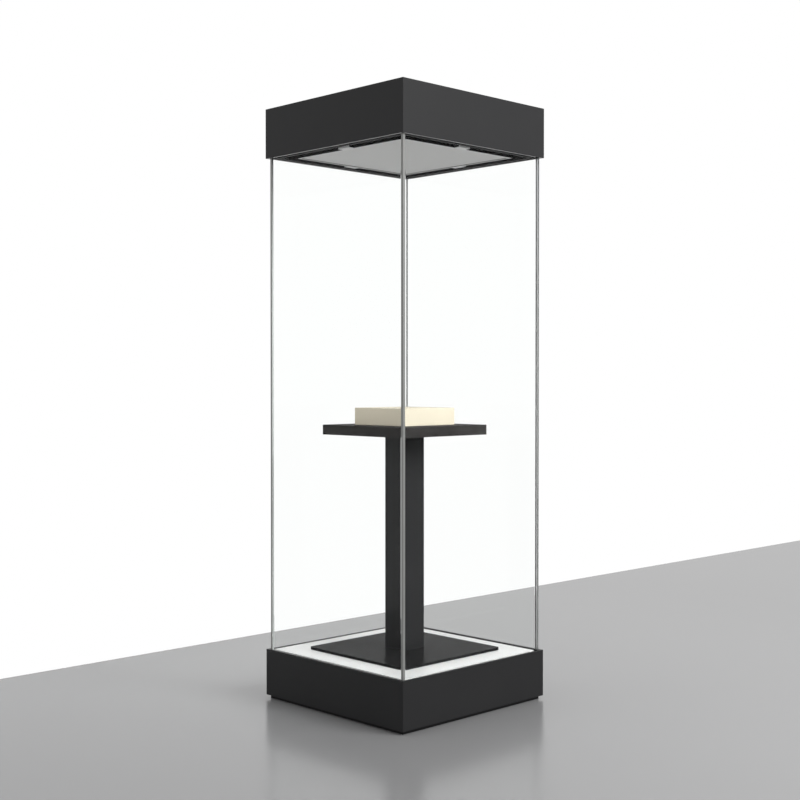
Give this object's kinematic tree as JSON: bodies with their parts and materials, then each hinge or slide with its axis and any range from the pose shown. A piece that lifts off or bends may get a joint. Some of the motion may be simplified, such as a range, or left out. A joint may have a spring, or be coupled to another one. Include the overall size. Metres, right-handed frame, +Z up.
{
  "type": "tower display showcase",
  "caption": "Square free-standing showcase: black base and canopy, glass on four sides with a rear pivot door, light panel, and a pedestal with a shelf and riser block.",
  "frame": {"origin": "centre of the case's plan on the floor", "axes": "+Z up, the front faces -Y, the pivot door is at the rear (+Y)"},
  "size_m": [0.6, 0.6, 1.8],
  "materials": {
    "black_steel": "semi-gloss black powder coat with a fine texture",
    "glass": "clear toughened float glass with ground edges",
    "clear_seal": "translucent flexible strip",
    "bead_grey": "grey bonding silicone, tooled smooth",
    "black_rubber": "matt black gasket rubber",
    "white_laminate": "satin white laminate on board",
    "opal": "opal diffuser sheet, matt",
    "white_steel": "satin white powder coat",
    "bright_steel": "zinc-plated steel",
    "chrome": "polished plated lock parts",
    "bronze": "plain bearing bronze",
    "board_white": "white circuit board with yellow light chips",
    "black_plastic": "moulded black plastic",
    "black_board": "board in semi-gloss black lacquer",
    "cream_paint": "board block in matt cream paint"
  },
  "bodies": {
    "root": {"base_channel_front": "black_steel", "base_channel_left": "black_steel", "base_channel_right": "black_steel", "base_frame_lower": "black_steel", "base_frame_posts": "black_steel", "base_frame_upper": "black_steel", "base_glazing_rubbers": "black_rubber", "base_shell": "black_steel", "bracket_screws": "bright_steel", "canopy_channel_front": "black_steel", "canopy_channel_left": "black_steel", "canopy_channel_right": "black_steel", "canopy_frame": "black_steel", "canopy_glazing_rubbers": "clear_seal", "canopy_posts": "black_steel", "canopy_rear_angle": "black_steel", "canopy_shell": "black_steel", "ceiling_plate": "white_steel", "corner_beads": "bead_grey", "deck_panel": "white_laminate", "diffuser": "opal", "glass_front": "glass", "glass_left": "glass", "glass_right": "glass", "inlet_blades": "bright_steel", "inner_leads": "black_plastic", "led_board": "bright_steel", "led_driver": "black_plastic", "led_strips": "board_white", "light_tray": "white_steel", "lock_strikes": "bright_steel", "pivot_bracket_lower": "black_steel", "pivot_bracket_upper": "black_steel", "pivot_pins": "bright_steel", "power_inlet": "black_plastic", "thrust_washer": "bronze"},
    "door": {"door_glass": "glass", "door_rail_bottom": "black_steel", "door_rail_top": "black_steel", "door_glazing_rubbers": "black_rubber", "door_pivot_blocks": "black_steel", "door_bushes": "bronze", "door_edge_seals": "clear_seal", "lock_bodies": "chrome"},
    "lock_lower": {"lock_plug_lower": "chrome", "lock_cam_lower": "chrome"},
    "lock_upper": {"lock_plug_upper": "chrome", "lock_cam_upper": "chrome"},
    "switch": {"switch_rocker": "black_plastic"},
    "foot_front_left": {"levelling_foot_front_left": "bright_steel"},
    "foot_front_right": {"levelling_foot_front_right": "bright_steel"},
    "foot_rear_left": {"levelling_foot_rear_left": "bright_steel"},
    "foot_rear_right": {"levelling_foot_rear_right": "bright_steel"},
    "lid": {"service_lid": "black_steel"},
    "pedestal": {"pedestal_foot": "black_steel", "pedestal_column": "black_steel", "shelf_board": "black_board", "pedestal_screws": "bright_steel"},
    "riser": {"riser_block": "cream_paint"}
  },
  "joints": [
    {"name": "door_swing", "type": "hinge", "parent": "root", "child": "door", "pos_m": [-0.272, 0.291, 0.9], "axis": [0, 0, 1], "range_deg": [0, 90]},
    {"name": "lock_lower_turn", "type": "hinge", "parent": "door", "child": "lock_lower", "pos_m": [0.258, 0.2785, 0.101], "axis": [0, 1, 0], "range_deg": [0, 90]},
    {"name": "lock_upper_turn", "type": "hinge", "parent": "door", "child": "lock_upper", "pos_m": [0.258, 0.2785, 1.699], "axis": [0, -1, 0], "range_deg": [0, 90]},
    {"name": "switch_rock", "type": "hinge", "parent": "root", "child": "switch", "pos_m": [-0.1665, 0.2925, 1.753], "axis": [1, 0, 0], "range_deg": [0, 16]},
    {"name": "foot_front_left_screw", "type": "slide", "parent": "root", "child": "foot_front_left", "axis": [0, 0, 1], "range_m": [-0.02, 0.01]},
    {"name": "foot_front_right_screw", "type": "slide", "parent": "root", "child": "foot_front_right", "axis": [0, 0, 1], "range_m": [-0.02, 0.01]},
    {"name": "foot_rear_left_screw", "type": "slide", "parent": "root", "child": "foot_rear_left", "axis": [0, 0, 1], "range_m": [-0.02, 0.01]},
    {"name": "foot_rear_right_screw", "type": "slide", "parent": "root", "child": "foot_rear_right", "axis": [0, 0, 1], "range_m": [-0.02, 0.01]},
    {"name": "lid_lift", "type": "slide", "parent": "root", "child": "lid", "axis": [0, 0, 1], "range_m": [0, 0.15]},
    {"name": "pedestal_lift", "type": "slide", "parent": "root", "child": "pedestal", "axis": [0, 0, 1], "range_m": [0, 0.1]},
    {"name": "riser_lift", "type": "slide", "parent": "pedestal", "child": "riser", "axis": [0, 0, 1], "range_m": [0, 0.1]}
  ]
}
